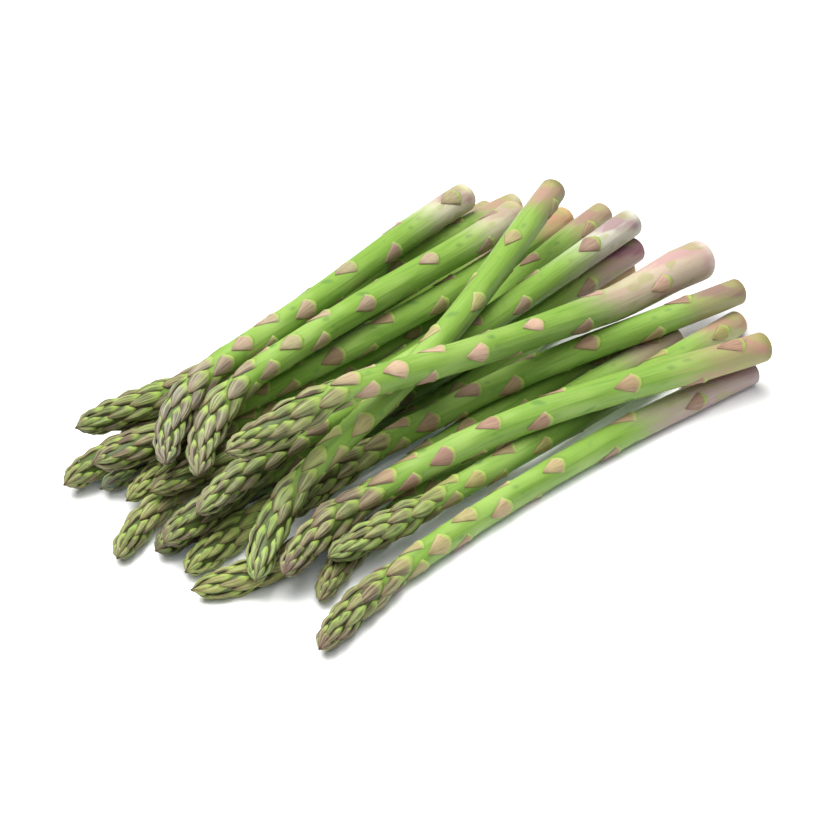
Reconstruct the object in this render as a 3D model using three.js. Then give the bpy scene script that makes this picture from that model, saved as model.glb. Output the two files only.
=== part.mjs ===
// A loose bundle of green asparagus lying on a table: 22 cut spears, each one solid, piled by a rule.
// Millimetres, +Z up. Buds point to -X and cut butts to +X. The origin is under the middle of the pile.
import * as THREE from 'three';

// Driving dimensions
const spearLength = 240; // from the cut butt to the tip of the bud
const spearThickness = 11; // across the shank at its middle
const leafRoom = 0.8; // clear room kept between neighbouring spears for their scale leaves
const budLength = 52; // the closed head of overlapping scales
const budWidth = 1.04; // across the bud where it is widest, as a part of the shank
const neckWidth = 0.86; // across the shank just below the bud, as a part of the shank
const budOutline = [[0.35, 1], [0.65, 0.92], [0.85, 0.7], [0.95, 0.42], [1, 0.14]]; // along it, and across
const cutChamfer = 0.8; // softened rim of the cut butt
const nodLength = 60; // the end stretch that turns aside, hangs down or curls up

// Fineness
const sides = 10; // flats round one spear
const shankSteps = 11; // rings from the butt to the neck
const layingSteps = 80; // places along a spear where its height over the pile is tried
const balance = 0.44; // centre of mass from the butt, as a part of the length

// How each spear lies, in the order in which the pile was laid.
// ahead: butt beyond the common line of butts; across: butt from the middle, in spear widths.
// heading, bend, sway and hook: degrees that the spear turns sideways, as a whole, in one arc,
// in an S, and at its bud. arch, nod and curl: how far its middle rises, its bud hangs down
// and its butt curls up.
// longer, thicker and foot: what it has over the common length, thickness and butt.
// A value that is left out is 0.
const plain = { bend: 0, sway: 0, hook: 0, longer: 0, thicker: 0, foot: 0, arch: 0, nod: 0, curl: 0 };
const bottomLayer = [
  { ahead: 9, across: -4.9, heading: 179.5, bend: 18, hook: 11, longer: -1, foot: -1.5 },
  { ahead: 7, across: -1.7, heading: 183, bend: 12, hook: 21, longer: -20, thicker: -1 },
  { ahead: 33, across: -2.6, heading: 181.5, bend: 1, sway: 1, hook: -5, longer: -8, thicker: -0.5 },
  { ahead: 2, across: -0.7, heading: 184, bend: 18, hook: -40, longer: 2, thicker: -0.5 },
  { ahead: 32, across: 2.5, heading: 184, bend: -12, hook: 14, longer: 26, foot: 1 },
  { ahead: -8, across: 3.1, heading: 182.5, bend: -13, hook: 12, longer: -15 },
  { ahead: 0, across: 4.3, heading: 182, bend: -5, hook: 30, longer: 7, thicker: -1 },
  { ahead: 8, across: 5.3, heading: 182, bend: -6, hook: 15, longer: -8, thicker: -1 },
  { ahead: 14, across: 6.3, heading: 182, bend: -6, hook: 4, longer: -4, thicker: -1 },
  { ahead: -2, across: 7.2, heading: 182, bend: -6, hook: 8, longer: -10, thicker: -0.5 },
  { ahead: 26, across: 8.7, heading: 183.5, bend: -5, hook: 6, longer: -20, thicker: -1 },
];
const middleLayer = [
  { ahead: 38, across: -2.2, heading: 172.5, bend: 2, sway: -4, hook: 18, longer: -7, arch: 2 },
  { ahead: 30, across: 1.9, heading: 181, bend: -4, hook: 11, longer: 25 },
  { ahead: 10, across: -5.2, heading: 168.5, bend: 1, sway: -6, hook: 30, longer: -8, thicker: 1, arch: 5 },
  { ahead: 43, across: 4.4, heading: 183.5, bend: -8, sway: 6, hook: -6, longer: 24 },
  { ahead: 32, across: 5.4, heading: 180.5, bend: -19, hook: -3, longer: 19, arch: 2 },
  { ahead: 24, across: 7.2, heading: 181.5, bend: 4, sway: 4, hook: -19, longer: -2, arch: 2 },
];
const upperLayer = [
  { ahead: 29, across: 2.1, heading: 182.5, bend: -8, sway: 1, hook: 13, longer: 13, foot: 1, arch: 2 },
  {
    ahead: 7, across: 5.9, heading: 186.5, bend: -15, sway: -4, hook: 45,
    longer: -16, thicker: 1, foot: 1, arch: 3, nod: 9,
  },
  {
    ahead: -1, across: 7.7, heading: 190.5, sway: 3, hook: 38,
    longer: -15, thicker: 0.5, foot: 1, arch: 3, nod: 8,
  },
  { ahead: 7, across: 4.1, heading: 193.5, bend: -18, sway: 3, hook: 33, longer: 4, arch: 8, nod: 4 },
  {
    ahead: 36, across: -0.6, heading: 178, bend: -2, sway: 2, hook: -1,
    longer: 9, thicker: 1.5, foot: 2, nod: 12, curl: 7,
  },
];

const degrees = Math.PI / 180;
const lane = spearThickness + leafRoom;

// A spear's own sizes, from the common sizes and its row.
function spearSizes(lie) {
  const length = spearLength + lie.longer;
  const thickness = spearThickness + lie.thicker;
  return { length, thickness, neck: length - budLength, foot: thickness + lie.foot };
}

// Radius at a distance from the butt: foot, shank that thins to the neck, bud, closed tip.
function radiusAt(sizes, distance) {
  const { length, thickness, neck, foot } = sizes;
  const widths = [
    [0, foot],
    [length * 0.16, thickness * 1.02],
    [neck, thickness * neckWidth],
    ...budOutline.map(([part, width]) => [neck + budLength * part, thickness * budWidth * width]),
  ];
  const next = Math.max(1, widths.findIndex(([at]) => at >= distance));
  const [startAt, startWidth] = widths[next - 1];
  const [endAt, endWidth] = widths[next];
  return THREE.MathUtils.mapLinear(distance, startAt, endAt, startWidth, endWidth) / 2;
}

// From 0 on the shank to 1 at the tip, over the end stretch.
function budTurn(distance, sizes) {
  return THREE.MathUtils.smoothstep(distance, sizes.length - nodLength, sizes.length);
}

// Where the spear's middle line runs on the table, seen from above, at evenly spaced steps.
function planLine(lie, sizes) {
  const step = sizes.length / layingSteps;
  const points = [];
  let x = spearLength / 2 + lie.ahead;
  let y = lie.across * lane;
  for (let i = 0; i <= layingSteps; i++) {
    const distance = i * step;
    const part = i / layingSteps;
    points.push({ x, y, distance, part, radius: radiusAt(sizes, distance) });
    const turned = lie.bend * (part - 0.5) + lie.sway * Math.sin(2 * Math.PI * part)
      + lie.hook * budTurn(distance, sizes);
    const angle = (lie.heading + turned) * degrees;
    x += Math.cos(angle) * step;
    y += Math.sin(angle) * step;
  }
  return points;
}

// The spear's own rise and fall: its middle arches up, its butt curls up and its bud hangs down.
function ownRise(lie, sizes, point) {
  const arch = lie.arch * 4 * point.part * (1 - point.part);
  const curl = lie.curl * (1 - THREE.MathUtils.smoothstep(point.distance, 0, nodLength));
  return arch + curl - lie.nod * budTurn(point.distance, sizes);
}

// The lowest height at which the middle line clears the table and every spear already laid.
function heightNeeded(point, laid) {
  let height = point.radius;
  for (const line of laid) {
    for (const other of line) {
      const reach = point.radius + other.radius + leafRoom;
      const apartSquared = (point.x - other.x) ** 2 + (point.y - other.y) ** 2;
      if (apartSquared < reach * reach) {
        height = Math.max(height, other.z + Math.sqrt(reach * reach - apartSquared));
      }
    }
  }
  return height;
}

// A laid spear rests on two points, one on each side of its centre of mass:
// the two ends of the upper hull's edge that spans the centre of mass.
function layDown(lie, laid) {
  const sizes = spearSizes(lie);
  const line = planLine(lie, sizes);
  const hull = [];
  for (const point of line) {
    const corner = { part: point.part, height: heightNeeded(point, laid) - ownRise(lie, sizes, point) };
    while (hull.length > 1 && !turnsDown(hull.at(-2), hull.at(-1), corner)) hull.pop();
    hull.push(corner);
  }
  const far = Math.max(1, hull.findIndex((corner) => corner.part > balance));
  const near = hull[far - 1];
  const slope = (hull[far].height - near.height) / (hull[far].part - near.part);
  for (const point of line) {
    point.z = near.height + slope * (point.part - near.part) + ownRise(lie, sizes, point);
  }
  laid.push(line);
  return { sizes, line };
}

function turnsDown(first, second, third) {
  const rise = (second.height - first.height) * (third.part - first.part);
  return rise > (third.height - first.height) * (second.part - first.part);
}

// The straight spear is turned on a lathe, from the middle of its cut to its tip.
function straightSpear(sizes) {
  const { length, neck } = sizes;
  const profile = [new THREE.Vector2(0, 0), new THREE.Vector2(radiusAt(sizes, 0) - cutChamfer, 0)];
  for (let i = 0; i < shankSteps; i++) {
    const distance = cutChamfer + (neck - cutChamfer) * (i / shankSteps);
    profile.push(new THREE.Vector2(radiusAt(sizes, distance), distance));
  }
  for (const part of [0, ...budOutline.map(([at]) => at)]) {
    const distance = neck + budLength * part;
    profile.push(new THREE.Vector2(radiusAt(sizes, distance), distance));
  }
  profile.push(new THREE.Vector2(0, length));
  return new THREE.LatheGeometry(profile, sides);
}

// Bends the lathe's straight spear along its laid line. The lathe's axis is Y.
function bendAlong(geometry, line) {
  const curve = new THREE.CatmullRomCurve3(line.map(({ x, y, z }) => new THREE.Vector3(x, y, z)));
  const length = line.at(-1).distance;
  const upward = new THREE.Vector3(0, 0, 1);
  const position = geometry.getAttribute('position');
  const vertex = new THREE.Vector3();
  for (let i = 0; i < position.count; i++) {
    vertex.fromBufferAttribute(position, i);
    const part = THREE.MathUtils.clamp(vertex.y / length, 0, 1);
    const tangent = curve.getTangent(part);
    const side = new THREE.Vector3().crossVectors(tangent, upward).normalize();
    const top = new THREE.Vector3().crossVectors(side, tangent);
    const centre = curve.getPoint(part);
    centre.addScaledVector(side, vertex.x).addScaledVector(top, vertex.z);
    position.setXYZ(i, centre.x, centre.y, centre.z);
  }
  geometry.computeVertexNormals();
  return geometry;
}

function spearMaterial(color) {
  return new THREE.MeshStandardMaterial({ color, roughness: 0.45, metalness: 0 });
}

const layers = [
  { name: 'bottom_spear', lies: bottomLayer, color: '#6f8f3a' },
  { name: 'middle_spear', lies: middleLayer, color: '#86ab45' },
  { name: 'upper_spear', lies: upperLayer, color: '#9bc452' },
];

const bundle = new THREE.Group();
const laid = [];
for (const layer of layers) {
  layer.lies.forEach((lie, i) => {
    const { sizes, line } = layDown({ ...plain, ...lie }, laid);
    const spear = new THREE.Mesh(bendAlong(straightSpear(sizes), line), spearMaterial(layer.color));
    spear.name = `${layer.name}_${String(i + 1).padStart(2, '0')}`;
    bundle.add(spear);
  });
}

// The origin goes under the middle of the pile, on the table.
const extent = new THREE.Box3().setFromObject(bundle);
const middle = extent.getCenter(new THREE.Vector3());
bundle.position.set(-middle.x, -middle.y, -extent.min.z);

export default bundle;
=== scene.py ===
import bmesh
import bpy
import math
import random
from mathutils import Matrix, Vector


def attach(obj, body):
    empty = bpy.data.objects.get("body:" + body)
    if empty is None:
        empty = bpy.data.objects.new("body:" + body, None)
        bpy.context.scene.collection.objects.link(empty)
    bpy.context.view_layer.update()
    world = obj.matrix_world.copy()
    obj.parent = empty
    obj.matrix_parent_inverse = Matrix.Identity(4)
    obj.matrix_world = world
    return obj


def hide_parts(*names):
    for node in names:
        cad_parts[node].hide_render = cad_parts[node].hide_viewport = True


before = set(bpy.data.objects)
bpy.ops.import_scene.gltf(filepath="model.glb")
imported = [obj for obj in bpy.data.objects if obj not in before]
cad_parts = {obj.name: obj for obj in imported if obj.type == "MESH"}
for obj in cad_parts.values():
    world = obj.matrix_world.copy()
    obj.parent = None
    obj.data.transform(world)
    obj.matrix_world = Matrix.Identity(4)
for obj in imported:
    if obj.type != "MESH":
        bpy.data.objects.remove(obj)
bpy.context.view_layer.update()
mm = 0.001


# Shader maths in plain Python: a Wire holds one output socket
class Wire:
    def __init__(self, tree, socket):
        self.tree = tree
        self.socket = socket

    def add(self, kind, settings, sockets, output=0):
        node = self.tree.nodes.new(kind)
        for key, value in settings.items():
            setattr(node, key, value)
        for key, value in sockets.items():
            if isinstance(value, Wire):
                self.tree.links.new(value.socket, node.inputs[key])
            else:
                node.inputs[key].default_value = value
        return Wire(self.tree, node.outputs[output])

    def maths(self, operation, first, second=0.0):
        return self.add("ShaderNodeMath", {"operation": operation}, {0: first, 1: second})

    def __add__(self, other):
        return self.maths("ADD", self, other)

    def __radd__(self, other):
        return self.maths("ADD", other, self)

    def __sub__(self, other):
        return self.maths("SUBTRACT", self, other)

    def __rsub__(self, other):
        return self.maths("SUBTRACT", other, self)

    def __mul__(self, other):
        return self.maths("MULTIPLY", self, other)

    def __rmul__(self, other):
        return self.maths("MULTIPLY", other, self)

    def __abs__(self):
        return self.maths("ABSOLUTE", self)

    # 0 below low, 1 above high and smooth between
    def fade(self, low, high):
        return self.add("ShaderNodeMapRange", {"interpolation_type": "SMOOTHSTEP"},
                        {"Value": self, "From Min": low, "From Max": high})

    def mix(self, mask, colour):
        return self.add("ShaderNodeMix", {"data_type": "RGBA"}, {0: mask, 6: self, 7: colour}, 2)

    # the vector stretched by three factors
    def stretch(self, x, y, z):
        return self.add("ShaderNodeVectorMath", {"operation": "MULTIPLY"}, {0: self, 1: (x, y, z)})

    def grain(self, scale, detail=2.0):
        return self.add("ShaderNodeTexNoise", {}, {"Vector": self, "Scale": scale, "Detail": detail})

    def part(self, letter):
        return self.add("ShaderNodeSeparateXYZ", {}, {0: self}, "XYZ".index(letter))

    # a vector that the mesh carries under a name
    def carried(self, name):
        return self.add("ShaderNodeAttribute", {"attribute_name": name}, {}, 1)

    def plain(self, colour):
        wire = self.add("ShaderNodeRGB", {}, {})
        wire.socket.default_value = colour
        return wire


def ink(red, green, blue, shade=1.0):  # a screen colour, 0 to 255, as the linear colour a shader takes
    linear = [shade * (part / 255 / 12.92 if part < 10.3 else ((part / 255 + 0.055) / 1.055) ** 2.4)
              for part in (red, green, blue)]
    return (*linear, 1.0)


def newMaterial(name, settings):
    material = bpy.data.materials.new(name)
    material.use_nodes = True
    shader = material.node_tree.nodes["Principled BSDF"]
    for key, value in settings.items():
        shader.inputs[key].default_value = value
    return material, Wire(material.node_tree, None), shader


def wireUp(material, shader, colour, roughness, height, depth):
    tree = material.node_tree
    tree.links.new(colour.socket, shader.inputs["Base Color"])
    tree.links.new(roughness.socket, shader.inputs["Roughness"])
    bump = height.add("ShaderNodeBump", {}, {"Height": height, "Strength": 1.0, "Distance": depth})
    tree.links.new(bump.socket, shader.inputs["Normal"])


# Each spear's own colours and growth. pale is how far the cut end's tint reaches in mm, turn is
# where its spiral starts in degrees, open is how far its bud scales stand off, mauve is how
# strongly some leaves are tinted, blunt and flare are how much fuller its bud and its butt are in mm.
spearLooks = {
    "bottom_spear_01": {
        "bud": (150, 140, 104), "leaf": (196, 172, 130), "butt": (214, 186, 188),
        "blush": (200, 160, 176), "end": (206, 190, 196),
        "pale": 62, "turn": 20, "open": 0.5, "mauve": 0.75,
    },
    "bottom_spear_02": {
        "bud": (134, 142, 84), "leaf": (186, 158, 122), "butt": (212, 188, 170),
        "blush": (206, 168, 160), "end": (196, 180, 150),
        "pale": 40, "turn": 80, "open": 0.2,
    },
    "bottom_spear_03": {
        "bud": (142, 166, 92), "leaf": (176, 164, 104), "butt": (196, 194, 140),
        "blush": (204, 158, 140), "end": (190, 150, 120),
        "pale": 34, "turn": 140, "open": 0.9,
    },
    "bottom_spear_04": {
        "bud": (168, 172, 92), "leaf": (180, 158, 118), "butt": (206, 190, 150),
        "blush": (190, 150, 136), "end": (190, 176, 130),
        "pale": 36, "turn": 10, "open": 0.3, "mauve": 0.15, "blunt": 0.8,
    },
    "bottom_spear_05": {
        "bud": (176, 190, 104), "leaf": (176, 164, 112), "butt": (222, 192, 142),
        "blush": (214, 164, 120), "end": (216, 170, 110),
        "pale": 30, "turn": 250, "open": 0.5, "mauve": 0.1, "blunt": 0.8,
    },
    "bottom_spear_06": {
        "bud": (92, 84, 74), "leaf": (140, 116, 100), "butt": (200, 180, 150),
        "blush": (180, 140, 140), "end": (150, 120, 100),
        "pale": 36, "turn": 60, "open": 0.3, "blunt": 0.9,
    },
    "bottom_spear_07": {
        "bud": (148, 152, 96), "leaf": (176, 150, 118), "butt": (204, 190, 150),
        "blush": (190, 150, 140), "end": (196, 180, 140),
        "pale": 36, "turn": 200, "open": 0.5, "mauve": 0.2, "blunt": 0.4,
    },
    "bottom_spear_08": {
        "bud": (156, 164, 92), "leaf": (176, 160, 110), "butt": (204, 190, 150),
        "blush": (190, 150, 140), "end": (196, 180, 140),
        "pale": 36, "turn": 310, "open": 0.4,
    },
    "bottom_spear_09": {
        "bud": (104, 128, 112), "leaf": (140, 140, 110), "butt": (204, 190, 150),
        "blush": (190, 150, 140), "end": (196, 180, 140),
        "pale": 36, "turn": 120, "open": 0.3,
    },
    "bottom_spear_10": {
        "bud": (138, 130, 90), "leaf": (160, 140, 104), "butt": (204, 190, 150),
        "blush": (190, 150, 140), "end": (196, 180, 140),
        "pale": 36, "turn": 170, "open": 0.2, "blunt": 0.9,
    },
    "bottom_spear_11": {
        "bud": (132, 130, 90), "leaf": (158, 136, 112), "butt": (204, 190, 150),
        "blush": (190, 150, 140), "end": (196, 180, 140),
        "pale": 36, "turn": 230, "open": 0.4,
    },
    "middle_spear_01": {
        "bud": (150, 160, 100), "leaf": (180, 150, 120), "butt": (176, 168, 124),
        "blush": (170, 130, 130), "end": (160, 140, 100),
        "pale": 36, "turn": 290, "open": 0.4,
    },
    "middle_spear_02": {
        "bud": (120, 124, 84), "leaf": (170, 146, 120), "butt": (196, 160, 160),
        "blush": (170, 110, 140), "end": (170, 120, 140),
        "pale": 44, "turn": 35, "open": 0.4, "blunt": 0.9,
    },
    "middle_spear_03": {
        "bud": (146, 132, 112), "leaf": (186, 148, 122), "butt": (186, 172, 126),
        "blush": (212, 158, 146), "end": (150, 150, 80),
        "pale": 44, "turn": 95, "open": 0.7,
    },
    "middle_spear_04": {
        "bud": (132, 132, 80), "leaf": (176, 150, 118), "butt": (198, 184, 144),
        "blush": (188, 146, 140), "end": (190, 170, 140),
        "pale": 34, "turn": 155, "open": 0.4,
    },
    "middle_spear_05": {
        "bud": (132, 122, 88), "leaf": (170, 146, 110), "butt": (220, 190, 150),
        "blush": (210, 160, 130), "end": (226, 190, 130),
        "pale": 30, "turn": 215, "open": 0.3, "blunt": 1.1,
    },
    "middle_spear_06": {
        "bud": (124, 140, 76), "leaf": (164, 150, 108), "butt": (208, 202, 164),
        "blush": (200, 160, 140), "end": (216, 208, 176),
        "pale": 30, "turn": 275, "open": 0.9, "blunt": 0.6,
    },
    "upper_spear_01": {
        "bud": (152, 156, 118), "leaf": (178, 152, 130), "butt": (238, 232, 222),
        "blush": (180, 140, 150), "end": (240, 238, 230),
        "pale": 46, "turn": 335, "open": 0.5,
    },
    "upper_spear_02": {
        "bud": (160, 158, 130), "leaf": (186, 164, 140), "butt": (226, 216, 190),
        "blush": (206, 180, 160), "end": (216, 190, 140),
        "pale": 40, "turn": 50, "open": 0.6,
    },
    "upper_spear_03": {
        "bud": (156, 156, 138), "leaf": (186, 160, 140), "butt": (244, 236, 212),
        "blush": (200, 160, 160), "end": (246, 238, 206),
        "pale": 42, "turn": 110, "open": 0.6,
    },
    "upper_spear_04": {
        "bud": (160, 184, 112), "leaf": (190, 184, 122), "butt": (176, 172, 120),
        "blush": (206, 160, 150), "end": (140, 138, 80),
        "pale": 30, "turn": 185, "open": 0.4, "blunt": 0.7,
    },
    "upper_spear_05": {
        "bud": (140, 144, 96), "leaf": (222, 182, 162), "butt": (232, 208, 192),
        "blush": (222, 176, 178), "end": (250, 240, 228),
        "pale": 72, "turn": 15, "open": 0.7, "flare": 1.2,
    },
}

# The shank's skin. The tints are screen colours, the shades darken a spear's own colours,
# and a fineness is how many grains of a pattern there are in a metre.
skin = {
    "green": (121, 156, 66),
    "light": (144, 174, 92),
    "deep": (88, 128, 46),
    "spot": (70, 112, 62),
    # painted shade for the core seen in the gaps under the bud's scales
    "core": (60, 68, 32),
    "patch": (150, 156, 92),
    "buttShade": 0.68,
    "blushShade": 0.62,
    "endShade": 0.72,
    "fibres": 1500.0,
    "streaks": 520.0,
    "clouds": 70.0,
    "specks": 150.0,
    "cloudShift": 40 * mm,      # how far the pale butt's border wanders
    "streakShift": 14 * mm,
    "endStain": (1 * mm, 6 * mm),
    "endShift": 6 * mm,
    "scaleShadeFade": (50 * mm, 26 * mm),  # from the tip, where the painted shade on the core under the bud's scales begins and where it is full
    "scaleShadeShift": 16 * mm,
    "bumpDepth": 0.16 * mm,
}


def makeSkin(name, look, length):
    material, paint, shader = newMaterial(name, {
        "Subsurface Weight": 0.35,
        "Subsurface Radius": (0.005, 0.006, 0.002),
        "Subsurface Scale": 0.6,
        "Specular IOR Level": 0.35,
        "Coat Weight": 0.06,
        "Coat Roughness": 0.35,
    })
    lie = paint.carried("lie")
    along = lie.part("Z")
    fibre = lie.stretch(1.0, 1.0, 0.03).grain(skin["fibres"], 3.0)
    streak = lie.stretch(1.0, 1.0, 0.07).grain(skin["streaks"])
    cloud = lie.stretch(1.0, 1.0, 0.35).grain(skin["clouds"])
    speck = lie.stretch(1.0, 1.0, 0.6).grain(skin["specks"], 1.0)
    patch = lie.stretch(1.0, 1.0, 0.25).grain(skin["specks"], 3.0)

    # the green shank
    colour = paint.plain(ink(*skin["green"]))
    colour = colour.mix(cloud.fade(0.4, 0.68), ink(*skin["light"]))
    colour = colour.mix(streak.fade(0.48, 0.74) * 0.5, ink(*skin["deep"]))
    colour = colour.mix(fibre.fade(0.48, 0.74) * 0.5, ink(*skin["light"]))
    colour = colour.mix(speck.fade(0.62, 0.74) * 0.55, ink(*skin["spot"]))

    # the pale butt with its blush, then the stained rim of the cut
    reach = along + (cloud - 0.5) * skin["cloudShift"] + (streak - 0.5) * skin["streakShift"]
    pale = look["pale"] * mm
    blush = 1 - reach.fade(pale * 0.4, pale * 1.15)
    colour = colour.mix(blush * 0.85, ink(*look["butt"], skin["buttShade"]))
    colour = colour.mix(blush * patch.fade(0.42, 0.62) * 0.8, ink(*look["blush"], skin["blushShade"]))
    colour = colour.mix(blush * speck.fade(0.56, 0.64) * 0.5, ink(*skin["patch"]))
    rim = 1 - (along + (patch - 0.5) * skin["endShift"]).fade(*skin["endStain"])
    colour = colour.mix(rim * 0.6, ink(*look["end"], skin["endShade"]))

    # painted shade: the core darkened in the gaps under the bud's scales
    shadeStart, shadeEnd = (length - before for before in skin["scaleShadeFade"])
    neck = (along + (streak - 0.5) * skin["scaleShadeShift"]).fade(shadeStart, shadeEnd)
    colour = colour.mix(neck * 0.85, ink(*skin["core"]))

    roughness = 0.4 + streak * 0.16 + blush * 0.1
    wireUp(material, shader, colour, roughness, fibre * 0.6 + streak, skin["bumpDepth"])
    return material


# The leaves of the shank and the scales of the bud
leafPaint = {
    "mauve": (124, 88, 92),
    "mauvePart": 0.45,          # unless a spear has its own
    "green": (112, 146, 60),
    "vein": (176, 168, 122),
    "furrow": (82, 66, 54),
    "rib": (164, 176, 110),
    "groove": (58, 50, 44),
    # painted shade for the sides of the bud's scales, where they tuck under one another
    "side": (50, 46, 32),
    "rim": (160, 190, 88),
    "point": (112, 76, 62),
    # painted shadow line along the sides of a leaf
    "edgeShadow": (96, 72, 56),
    "leafShade": 0.78,
    "budShade": 0.8,
    "budFade": (70 * mm, 36 * mm),  # from the tip, where leaves turn into scales
    "blotches": 260.0,
    "bumpDepth": 0.12 * mm,
}


def makeLeaf(name, look, length):
    material, paint, shader = newMaterial(name, {
        "Subsurface Weight": 0.08,
        "Subsurface Radius": (0.003, 0.003, 0.002),
        "Subsurface Scale": 0.3,
        "Specular IOR Level": 0.4,
    })
    lie, place = paint.carried("lie"), paint.carried("leafPlace")
    across, along, luck = place.part("X"), place.part("Y"), place.part("Z")
    side = abs(across)
    budStart, budFull = (length - before for before in leafPaint["budFade"])
    inBud = lie.part("Z").fade(budStart, budFull)
    vein = place.stretch(5.0, 0.5, 9.0).grain(3.2, 3.0)
    rib = place.stretch(2.4, 0.3, 17.0).grain(2.2, 1.0)
    blotch = lie.grain(leafPaint["blotches"])

    # each leaf's own tint
    colour = paint.plain(ink(*look["leaf"], leafPaint["leafShade"]))
    colour = colour.mix(inBud, ink(*look["bud"], leafPaint["budShade"]))
    mauvePart = look.get("mauve", leafPaint["mauvePart"])
    colour = colour.mix(luck.fade(0.4, 1.0) * mauvePart, ink(*leafPaint["mauve"]))
    colour = colour.mix((1 - luck).fade(0.5, 1.0) * (0.3 + inBud * 0.25), ink(*leafPaint["green"]))

    # veins everywhere, ribs and grooves on the bud's scales
    colour = colour.mix(vein.fade(0.5, 0.72) * 0.4, ink(*leafPaint["vein"]))
    colour = colour.mix((1 - vein).fade(0.5, 0.68) * 0.45, ink(*leafPaint["furrow"]))
    colour = colour.mix(rib.fade(0.5, 0.62) * inBud * 0.55, ink(*leafPaint["rib"]))
    colour = colour.mix((1 - rib).fade(0.52, 0.64) * inBud * 0.65, ink(*leafPaint["groove"]))

    # painted shade at the bud scales' sides, a bright rim at the base, a brown point and a painted shadow
    # line along the leaves' edges
    colour = colour.mix(side.fade(0.55, 1.0) * inBud * 0.75, ink(*leafPaint["side"]))
    rim = 1 - (along + (blotch - 0.5) * 0.08 - side * 0.03).fade(0.06, 0.2 + inBud * 0.2)
    colour = colour.mix(rim * (0.9 - inBud * 0.2), ink(*leafPaint["rim"]))
    colour = colour.mix(along.fade(0.55, 1.0) * 0.5, ink(*leafPaint["point"]))
    # painted shadow line along a leaf's sides towards its point
    colour = colour.mix(side.fade(0.82, 1.0) * along.fade(0.15, 0.4) * 0.5, ink(*leafPaint["edgeShadow"]))

    roughness = 0.5 + vein * 0.2
    height = vein + blotch * 0.4 + rib * inBud * 3.0
    wireUp(material, shader, colour, roughness, height, leafPaint["bumpDepth"])
    return material


# The cut end: pale flesh with darker bundles of vessels
cut = {
    "flesh": (214, 212, 160),
    "vessel": (176, 176, 112),
    "stain": (196, 176, 122),
    "vessels": 900.0,
    "stains": 420.0,
    "skinFade": (3.4 * mm, 5.2 * mm),  # outwards, where the flesh takes the butt's colour
    "bumpDepth": 0.2 * mm,
}


def makeCut(name, look):
    material, paint, shader = newMaterial(name, {
        "Subsurface Weight": 0.15,
        "Subsurface Radius": (0.004, 0.004, 0.002),
        "Subsurface Scale": 0.4,
    })
    flat = paint.carried("lie").stretch(1.0, 1.0, 0.0)
    outward = paint.add("ShaderNodeVectorMath", {"operation": "LENGTH"}, {0: flat}, "Value")
    dots = paint.add("ShaderNodeTexVoronoi", {}, {"Vector": flat, "Scale": cut["vessels"]})
    stain = flat.grain(cut["stains"], 3.0)
    colour = paint.plain(ink(*cut["flesh"]))
    colour = colour.mix(1 - dots.fade(0.1, 0.42), ink(*cut["vessel"]))
    colour = colour.mix(stain.fade(0.45, 0.7) * 0.4, ink(*cut["stain"]))
    colour = colour.mix(outward.fade(*cut["skinFade"]) * 0.6, ink(*look["butt"]))
    roughness = 0.5 + stain * 0.25
    wireUp(material, shader, colour, roughness, dots + stain, cut["bumpDepth"])
    return material


def smooth(value):
    value = min(max(value, 0.0), 1.0)
    return value * value * (3 - 2 * value)


packed = {
    "sides": 10,              # flats round a packed spear
    "tooClose": 0.001 * mm,   # corners nearer than this are one
    "lineStep": 1.0 * mm,
}


# Reads where a packed spear lies: its middle line, thickness and two directions across it
def readLine(node):
    bm = bmesh.new()
    bm.from_mesh(node.data)
    bmesh.ops.remove_doubles(bm, verts=bm.verts, dist=packed["tooClose"])
    bm.verts.index_update()
    poles = [vert for vert in bm.verts if len(vert.link_edges) == packed["sides"]]
    ring = [max(poles, key=lambda vert: vert.co.x)]  # the middle of the cut
    rings, seen = [], set()
    while ring:
        rings.append([vert.co.copy() for vert in ring])
        seen.update(ring)
        beside = {edge.other_vert(vert) for vert in ring for edge in vert.link_edges}
        ring = sorted(beside - seen, key=lambda vert: vert.index)
    bm.free()
    middles = [sum(ring, Vector()) / len(ring) for ring in rings]
    reach = [(ring[0] - middle).length for ring, middle in zip(rings, middles)]
    middles = [middles[0], *middles[2:-1]]  # without the worn rim and the tip's own point
    reach = [reach[2], *reach[2:-1]]
    stations = [0.0]
    for before, after in zip(middles, middles[1:]):
        stations.append(stations[-1] + (after - before).length)
    knots = [(*middle, radius) for middle, radius in zip(middles, reach)]
    length = stations[-1]
    count = int(length / packed["lineStep"]) + 1
    spots = [through(stations, knots, length * i / count) for i in range(count + 1)]
    middle = [Vector(spot[:3]) for spot in spots]
    ahead = [(middle[min(i + 1, count)] - middle[max(i - 1, 0)]).normalized() for i in range(count + 1)]
    side = [way.cross(Vector((0, 0, 1))).normalized() for way in ahead]
    return {
        "length": length,
        "step": length / count,
        "middle": middle,
        "radius": [spot[3] for spot in spots],
        "ahead": ahead,
        "side": side,
        "up": [across.cross(way) for across, way in zip(side, ahead)],
    }


# A smooth curve through knots at their stations
def through(stations, knots, distance):
    last = len(stations) - 1
    i = max(k for k in range(last) if stations[k] <= distance)
    slopes = []
    for k in (i, i + 1):
        low, high = max(k - 1, 0), min(k + 1, last)
        slopes.append([(b - a) / (stations[high] - stations[low]) for a, b in zip(knots[low], knots[high])])
    span = stations[i + 1] - stations[i]
    t = (distance - stations[i]) / span
    weights = (2 * t**3 - 3 * t**2 + 1, (t**3 - 2 * t**2 + t) * span,
               3 * t**2 - 2 * t**3, (t**3 - t**2) * span)
    values = zip(knots[i], slopes[0], knots[i + 1], slopes[1])
    return [sum(w * value for w, value in zip(weights, four)) for four in values]


def between(values, step, distance):
    place = min(max(distance / step, 0.0), len(values) - 1.001)
    i = int(place)
    return values[i] + (values[i + 1] - values[i]) * (place - i)


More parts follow.
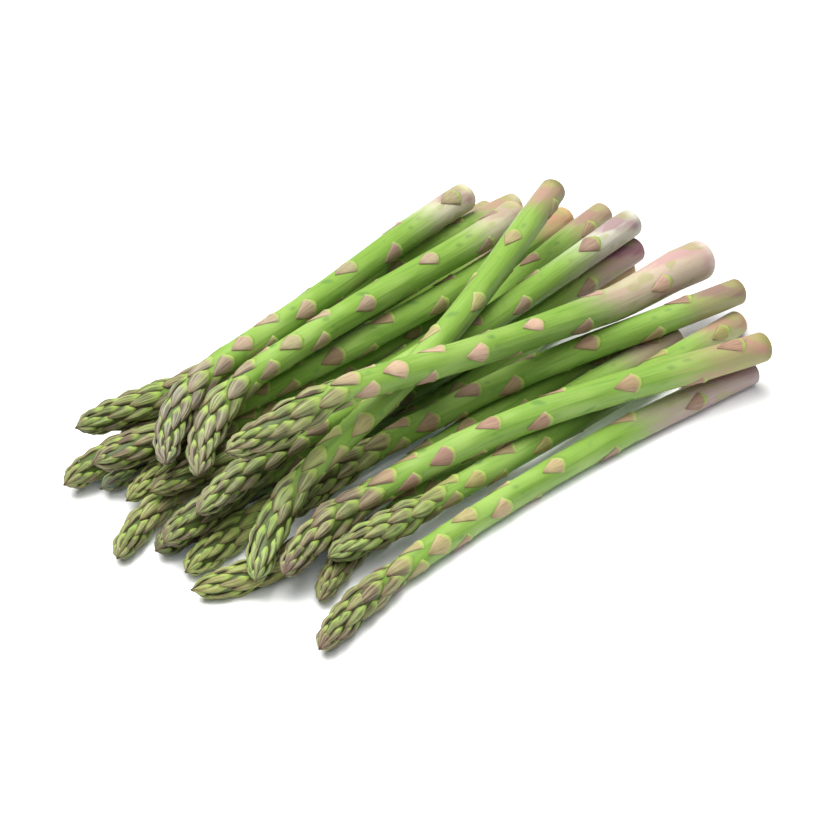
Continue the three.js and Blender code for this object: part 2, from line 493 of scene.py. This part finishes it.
# Moves a spot on the straight spear to where the spear lies
def layOver(line, spot):
    step, far = line["step"], spot.z
    beyond = far - min(max(far, 0.0), line["length"])
    return (between(line["middle"], step, far) + between(line["side"], step, far) * spot.x
            + between(line["up"], step, far) * spot.y + between(line["ahead"], step, far) * beyond)


# How leaves follow one another up a spear
growth = {
    "budLength": 52 * mm,
    "crowding": 14 * mm,      # how far below the bud its scales begin
    "budBlend": 22 * mm,      # from shank leaves to bud scales
    "spiral": math.radians(137.5),
    "firstLeaf": 9 * mm,
    "firstLuck": 6 * mm,
    "lastLeaf": 3.2 * mm,     # from the tip
    "gapAtButt": 17 * mm,     # leaf to leaf along the shank
    "gapAtNeck": 4.0 * mm,
    "gapAtTip": 0.55 * mm,
    "shankCloser": 1.6,       # how late the gaps shrink on the shank and how soon in the bud
    "budCloser": 0.55,
    "gapLuck": 0.12,
    "sizeLuck": 0.08,
    "widthLuck": 0.1,
    "turnLuck": 0.14,
}

leafShape = {
    "length": 10.8 * mm,
    "halfWidth": 4.6 * mm,
    "thickness": 0.22 * mm,
    "rimHeight": 0.4 * mm,    # the swollen crescent where a leaf starts
    "rimPlace": 0.1,
    "rimBreadth": 0.08,
    "baseRound": 0.2,         # how far the base bows towards the butt
    "baseSink": 0.25 * mm,    # how deep its edge starts in the shank
    "baseRise": 0.3 * mm,
    "crown": 0.12 * mm,       # its middle over its sides
    "pointLift": 0.2 * mm,    # how far a leaf's point stands off, and how far a scale's is pressed on
    "pointPress": 0.4 * mm,
    "puff": 0.25 * mm,        # a scale's belly
    "openPuff": 0.5 * mm,
    "closing": 5 * mm,        # the scales close over the tip
    "budLonger": 1.15,        # the bud's scales beside the shank's leaves
    "budNarrower": 0.88,
    "tipSmaller": 0.3,
    "tipNarrower": 0.5,
    "slimmest": 1.1 * mm,     # a scale never wraps round less than this radius
    "widestTurn": 1.35,
    "leafGrid": (6, 8),
    "scaleGrid": (4, 6),
}


def planLeaves(line, look, luck):
    leaves = []
    length = line["length"]
    neck = length - growth["budLength"] - growth["crowding"]
    distance = growth["firstLeaf"] + luck.uniform(0, 1) * growth["firstLuck"]
    turn = math.radians(look["turn"])
    while distance < length - growth["lastLeaf"]:
        inBud = smooth((distance - neck) / growth["budBlend"])
        towardsTip = smooth((distance - neck - growth["crowding"]) / growth["budLength"])
        size = 1 - leafShape["tipSmaller"] * towardsTip ** 1.5
        size += luck.uniform(-growth["sizeLuck"], growth["sizeLuck"])
        reach = leafShape["length"] * size * (1 + (leafShape["budLonger"] - 1) * inBud)
        broad = leafShape["halfWidth"] * size * (1 + (leafShape["budNarrower"] - 1) * inBud)
        broad *= 1 + (leafShape["tipNarrower"] - 1) * towardsTip ** 0.7
        leaves.append({"at": distance, "turn": turn, "inBud": inBud, "tipward": towardsTip,
                       "length": min(reach, (length - distance) * 0.98 + 0.2 * mm),
                       "halfWidth": broad * luck.uniform(1 - growth["widthLuck"], 1 + growth["widthLuck"]),
                       "luck": luck.random()})
        if distance < neck:
            share = (distance / neck) ** growth["shankCloser"]
            gap = growth["gapAtButt"] + (growth["gapAtNeck"] - growth["gapAtButt"]) * share
        else:
            share = ((distance - neck) / (length - neck)) ** growth["budCloser"]
            gap = growth["gapAtNeck"] + (growth["gapAtTip"] - growth["gapAtNeck"]) * share
        distance += gap * luck.uniform(1 - growth["gapLuck"], 1 + growth["gapLuck"])
        turn += growth["spiral"] + luck.uniform(-growth["turnLuck"], growth["turnLuck"])
    return leaves


shank = {
    "roundness": 32,          # faces round it
    "ringGap": 2.6 * mm,
    "rimRound": 1.3 * mm,     # the worn rim of the cut end
    "rimSteps": 5,
    "cutRings": 3,
    "cutHollow": 0.35 * mm,
    "cutEdge": 0.7,           # how much of the rim belongs to the skin
    "tipShort": 1.2 * mm,     # the core ends this far inside the closed scales
    "slimmest": 0.25 * mm,
    "scaleRoom": 0.9 * mm,    # how far the core stays under the bud's scales
    "swell": 0.28 * mm,       # how far the shank stands out where a leaf starts
    "swellReach": 8 * mm,
    "swellLength": 3.2 * mm,
    "swellTurn": 0.7,
    "lobes": 3,               # a shank is not quite round
    "uneven": 0.014,
    "twist": 60,              # radians in a metre
    "flareReach": 110 * mm,   # how far a fat butt's extra thickness reaches
    "bluntTip": 6 * mm,       # a blunt bud is fuller from here, from the tip back
    "bluntReach": 22 * mm,
    "headStart": 8 * mm,      # below the bud, where the core begins to make room for scales
    "headBlend": 16 * mm,
}


def coreRadius(line, distance):
    left = line["length"] - distance
    fuller = line["flare"] * smooth(1 - distance / shank["flareReach"])
    fuller += line["blunt"] * smooth(left / shank["bluntTip"]) * smooth(1.6 - left / shank["bluntReach"])
    bud = smooth((growth["budLength"] + shank["headStart"] - left) / shank["headBlend"])
    core = between(line["radius"], line["step"], distance) + fuller - shank["scaleRoom"] * bud
    return max(core, shank["slimmest"])


# The straight shank: a profile from the cut's middle to the tip, spun round its own line
def growShank(bm, line, leaves):
    length, rim = line["length"], shank["rimRound"]
    edge = bm.edges.new((bm.verts.new((0, 0, 0)), bm.verts.new((0, 0, length))))
    bmesh.ops.subdivide_edges(bm, edges=[edge], cuts=round(length / shank["ringGap"]))
    profile = sorted(bm.verts, key=lambda vert: vert.co.z)
    cutRings, rimSteps, last = shank["cutRings"], shank["rimSteps"], len(profile) - 1
    buttRadius = coreRadius(line, 2 * rim)
    for i, vert in enumerate(profile):
        if i < rimSteps + cutRings:  # the cut face, then its rounded rim
            bow = math.radians(90) * max(i - cutRings, 0) / rimSteps
            vert.co.x = (buttRadius - rim) * min(i / cutRings, 1) + rim * math.sin(bow)
            vert.co.z = rim * (1 - math.cos(bow))
            if i < cutRings:
                vert.co.z = shank["cutHollow"] * (1 - (i / cutRings) ** 2)
        else:
            share = (i - rimSteps - cutRings + 1) / (last - rimSteps - cutRings + 1)
            vert.co.z = rim + (length - shank["tipShort"] - rim) * share
            vert.co.x = coreRadius(line, vert.co.z) if i < last else 0.0
    bmesh.ops.spin(bm, geom=bm.verts[:] + bm.edges[:], cent=(0, 0, 0), axis=(0, 0, 1),
                   angle=math.tau, steps=shank["roundness"], use_merge=True)
    bmesh.ops.remove_doubles(bm, verts=bm.verts, dist=0.01 * mm)
    bmesh.ops.recalc_face_normals(bm, faces=bm.faces)
    swellAlong(bm, leaves)
    for face in bm.faces:
        middle = face.calc_center_median()
        flatPart = math.hypot(middle.x, middle.y) < buttRadius - rim * shank["cutEdge"]
        face.material_index = 2 if flatPart and middle.z < 0.4 * mm else 0
        face.smooth = True


# The shank stands out a little where a leaf starts, and is never quite round
def swellAlong(bm, leaves):
    nodes = [leaf for leaf in leaves if leaf["inBud"] < 0.5]
    for vert in bm.verts:
        angle, far = math.atan2(vert.co.y, vert.co.x), vert.co.z
        swell = 0.0
        for leaf in nodes:
            ahead = far - leaf["at"]
            if abs(ahead) < shank["swellReach"]:
                turned = (angle - leaf["turn"] + math.pi) % math.tau - math.pi
                fall = (ahead / shank["swellLength"]) ** 2 + (turned / shank["swellTurn"]) ** 2
                swell += shank["swell"] * math.exp(-fall)
        wave = math.sin(shank["lobes"] * angle + far * shank["twist"] + leaves[0]["turn"])
        uneven = 1 + shank["uneven"] * wave * smooth(far / (10 * mm))
        reach = math.hypot(vert.co.x, vert.co.y)
        if reach > 0.001 * mm:
            grown = (reach * uneven + swell) / reach
            vert.co.x *= grown
            vert.co.y *= grown


# One leaf as a flat closed sheet: x from side to side, y from base to point, z its thickness
def makeTemplate(bm, columns, rows):
    made = bmesh.ops.create_grid(bm, x_segments=columns, y_segments=rows, size=1.0)["verts"]
    faces = list(dict.fromkeys(face for vert in made for face in vert.link_faces))
    for vert in made:
        vert.co.y = (vert.co.y + 1) / 2
        vert.co.x = math.copysign(abs(vert.co.x) ** 0.8, vert.co.x)  # finer towards the sides
    top = bmesh.ops.extrude_face_region(bm, geom=faces)["geom"]
    lifted = [part for part in top if isinstance(part, bmesh.types.BMVert)]
    bmesh.ops.translate(bm, verts=lifted, vec=(0, 0, 1))
    whole = list(dict.fromkeys(face for vert in made + lifted for face in vert.link_faces))
    bmesh.ops.recalc_face_normals(bm, faces=whole)
    for face in whole:
        face.material_index = 1
        face.smooth = True
    edges = list(dict.fromkeys(edge for face in whole for edge in face.edges))
    return made + lifted + edges + whole


# A leaf's half width: a rounded base, then straight sides to a sharp point, or a rounded one
def outline(share, rounded):
    sharp = (0.72 + 0.28 * smooth(share / 0.14)) * (1 - max(share - 0.08, 0.0) / 0.92) ** 0.92
    blunt = (0.6 + 0.4 * smooth(share / 0.25)) * max(1 - share ** 2.4, 0.0) ** 0.6
    return sharp + (blunt - sharp) * rounded + 0.02


# How far a spot on a leaf stands off the core
def leafLift(line, leaf, look, across, share, distance):
    bud = leaf["inBud"]
    crown = 1 - across * across
    bulge = math.exp(-((share - leafShape["rimPlace"]) / leafShape["rimBreadth"]) ** 2)
    ridge = leafShape["rimHeight"] * bulge * crown * (1 - 0.6 * bud)
    flat = leafShape["baseRise"] * smooth(share / 0.12) - leafShape["baseSink"] + leafShape["crown"] * crown
    flat += (leafShape["pointLift"] - leafShape["pointPress"] * bud) * share ** 3
    room = shank["scaleRoom"] * smooth(share / 0.55) * (1 - 0.45 * smooth((share - 0.5) / 0.5))
    room *= (0.45 + 0.55 * crown) * (1.1 + 0.3 * look["open"])
    puff = (leafShape["puff"] + leafShape["openPuff"] * look["open"]) * crown
    puff *= math.sin(math.pi * share) ** 1.5 * (1 - 0.5 * leaf["tipward"])
    closing = smooth((line["length"] - distance) / leafShape["closing"])
    return flat + ridge + bud * (room + puff) * closing


def placeLeaf(line, leaf, look, spot):
    across, share, over = spot
    crown = 1 - across * across
    back = leafShape["baseRound"] * crown * (1 - share) ** 2
    distance = leaf["at"] + leaf["length"] * (share - back)
    thickness = leafShape["thickness"] * (1 - 0.5 * share) * (0.45 + 0.55 * crown)
    radius = coreRadius(line, distance) + leafLift(line, leaf, look, across, share, distance)
    radius += over * thickness
    rounded = leaf["inBud"] * (0.85 - 0.6 * leaf["tipward"])
    width = leaf["halfWidth"] * outline(share, rounded) / max(radius, leafShape["slimmest"])
    angle = leaf["turn"] + across * min(width, leafShape["widestTurn"])
    return Vector((radius * math.cos(angle), radius * math.sin(angle), distance))


def growLeaves(bm, line, leaves, look):
    placeLayer = bm.verts.layers.float_vector.new("leafPlace")
    shankLeaf = makeTemplate(bm, *leafShape["leafGrid"])
    budScale = makeTemplate(bm, *leafShape["scaleGrid"])
    for leaf in leaves:
        copied = bmesh.ops.duplicate(bm, geom=shankLeaf if leaf["inBud"] < 0.4 else budScale)["geom"]
        for vert in [part for part in copied if isinstance(part, bmesh.types.BMVert)]:
            vert[placeLayer] = (vert.co.x, vert.co.y, leaf["luck"])
            vert.co = placeLeaf(line, leaf, look, vert.co)
    spare = [part for part in shankLeaf + budScale if isinstance(part, bmesh.types.BMVert)]
    bmesh.ops.delete(bm, geom=spare, context="VERTS")


firstSeed = 40
tableClear = 0.05 * mm  # the lowest leaves are pressed flat on the table


def growSpear(name, look, seed):
    luck = random.Random(seed)
    line = readLine(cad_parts[name])
    line["flare"] = look.get("flare", 0.0) * mm
    line["blunt"] = look.get("blunt", 0.0) * mm
    leaves = planLeaves(line, look, luck)
    bm = bmesh.new()
    growShank(bm, line, leaves)
    growLeaves(bm, line, leaves, look)
    lieLayer = bm.verts.layers.float_vector.new("lie")  # its place on the straight spear, for the materials
    for vert in bm.verts:
        vert[lieLayer] = vert.co
        vert.co = layOver(line, vert.co)
        vert.co.z = max(vert.co.z, tableClear)
    bmesh.ops.reverse_faces(bm, faces=bm.faces)  # layOver mirrors the spear, so its faces pointed inwards
    mesh = bpy.data.meshes.new("asparagus_" + name)
    bm.to_mesh(mesh)
    bm.free()
    mesh.materials.append(makeSkin(name + "_skin", look, line["length"]))
    mesh.materials.append(makeLeaf(name + "_leaves", look, line["length"]))
    mesh.materials.append(makeCut(name + "_cut", look))
    piece = bpy.data.objects.new("asparagus_" + name, mesh)
    bpy.context.scene.collection.objects.link(piece)
    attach(piece, "root")
    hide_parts(name)
    return len(mesh.polygons)


total = 0
for number, (spearName, spearLook) in enumerate(spearLooks.items()):
    total += growSpear(spearName, spearLook, firstSeed + number)
print("spears grown:", len(spearLooks), "faces:", total)

# The table, the lights and the camera
studio = {
    "floorSize": 6.0,
    "floorTint": (244, 245, 248),
    "hazeTint": (250, 250, 250),
    "floorGlow": 0.05,
    "worldLight": 0.03,
    "worldTint": (0.78, 0.9, 1.0, 1.0),
    "backdrop": 0.8,
    "lightTint": (1.0, 0.985, 0.96),
    "keyPower": 40.0,
    "keyWidth": 1.2,
    "keyPlace": (-0.22, 0.3, 1.33),
    "frontPower": 9.5,
    "frontWidth": 0.9,
    "frontPlace": (-0.5, -0.5, 1.15),
    "aim": (-19.6 * mm, -20.25 * mm, 19.1 * mm),
    "distance": 1.0,
    "azimuth": -45,
    "elevation": 35,
    "lens": 115.1,
    "filmWidth": 36,
}


def makeStage():
    bm = bmesh.new()
    bmesh.ops.create_grid(bm, x_segments=4, y_segments=4, size=studio["floorSize"] / 2)
    mesh = bpy.data.meshes.new("table_top")
    bm.to_mesh(mesh)
    bm.free()
    material, paint, shader = newMaterial("table_white", {
        "Specular IOR Level": 0.2,
        "Emission Color": studio["worldTint"],
        "Emission Strength": studio["floorGlow"],
    })
    haze = paint.add("ShaderNodeTexCoord", {}, {}, "Object").grain(3.0)
    tint = paint.plain(ink(*studio["floorTint"])).mix(haze * 0.15, ink(*studio["hazeTint"]))
    roughness = 0.6 + haze * 0.1
    material.node_tree.links.new(tint.socket, shader.inputs["Base Color"])
    material.node_tree.links.new(roughness.socket, shader.inputs["Roughness"])
    mesh.materials.append(material)
    floor = bpy.data.objects.new("table_top", mesh)
    bpy.context.scene.collection.objects.link(floor)


def aimAt(thing, target):
    thing.rotation_euler = (Vector(target) - thing.location).to_track_quat("-Z", "Y").to_euler()


def makeLights():
    world = bpy.data.worlds.new("studio_air")
    world.use_nodes = True
    background = world.node_tree.nodes["Background"]
    background.inputs["Color"].default_value = studio["worldTint"]
    air = Wire(world.node_tree, None)
    seen = air.add("ShaderNodeLightPath", {}, {}, "Is Camera Ray")  # the backdrop is paler than its light
    strength = studio["worldLight"] + seen * (studio["backdrop"] - studio["worldLight"])
    world.node_tree.links.new(strength.socket, background.inputs["Strength"])
    bpy.context.scene.world = world
    for part in ("key", "front"):
        light = bpy.data.lights.new(part + "_light", "AREA")
        light.energy = studio[part + "Power"]
        light.size = studio[part + "Width"]
        light.color = studio["lightTint"]
        lamp = bpy.data.objects.new(part + "_light", light)
        lamp.location = studio[part + "Place"]
        aimAt(lamp, (0, 0, 0))
        bpy.context.scene.collection.objects.link(lamp)


def makeCamera():
    azimuth, elevation = math.radians(studio["azimuth"]), math.radians(studio["elevation"])
    towards = Vector((math.sin(azimuth) * math.cos(elevation), -math.cos(azimuth) * math.cos(elevation),
                      math.sin(elevation)))
    camera = bpy.data.objects.new("camera", bpy.data.cameras.new("camera"))
    camera.data.lens = studio["lens"]
    camera.data.sensor_width = studio["filmWidth"]
    camera.location = Vector(studio["aim"]) + towards * studio["distance"]
    aimAt(camera, studio["aim"])
    bpy.context.scene.collection.objects.link(camera)
    bpy.context.scene.camera = camera


makeStage()
makeLights()
makeCamera()
bpy.context.scene.view_settings.view_transform = "Standard"
print("stage, lights and camera set")
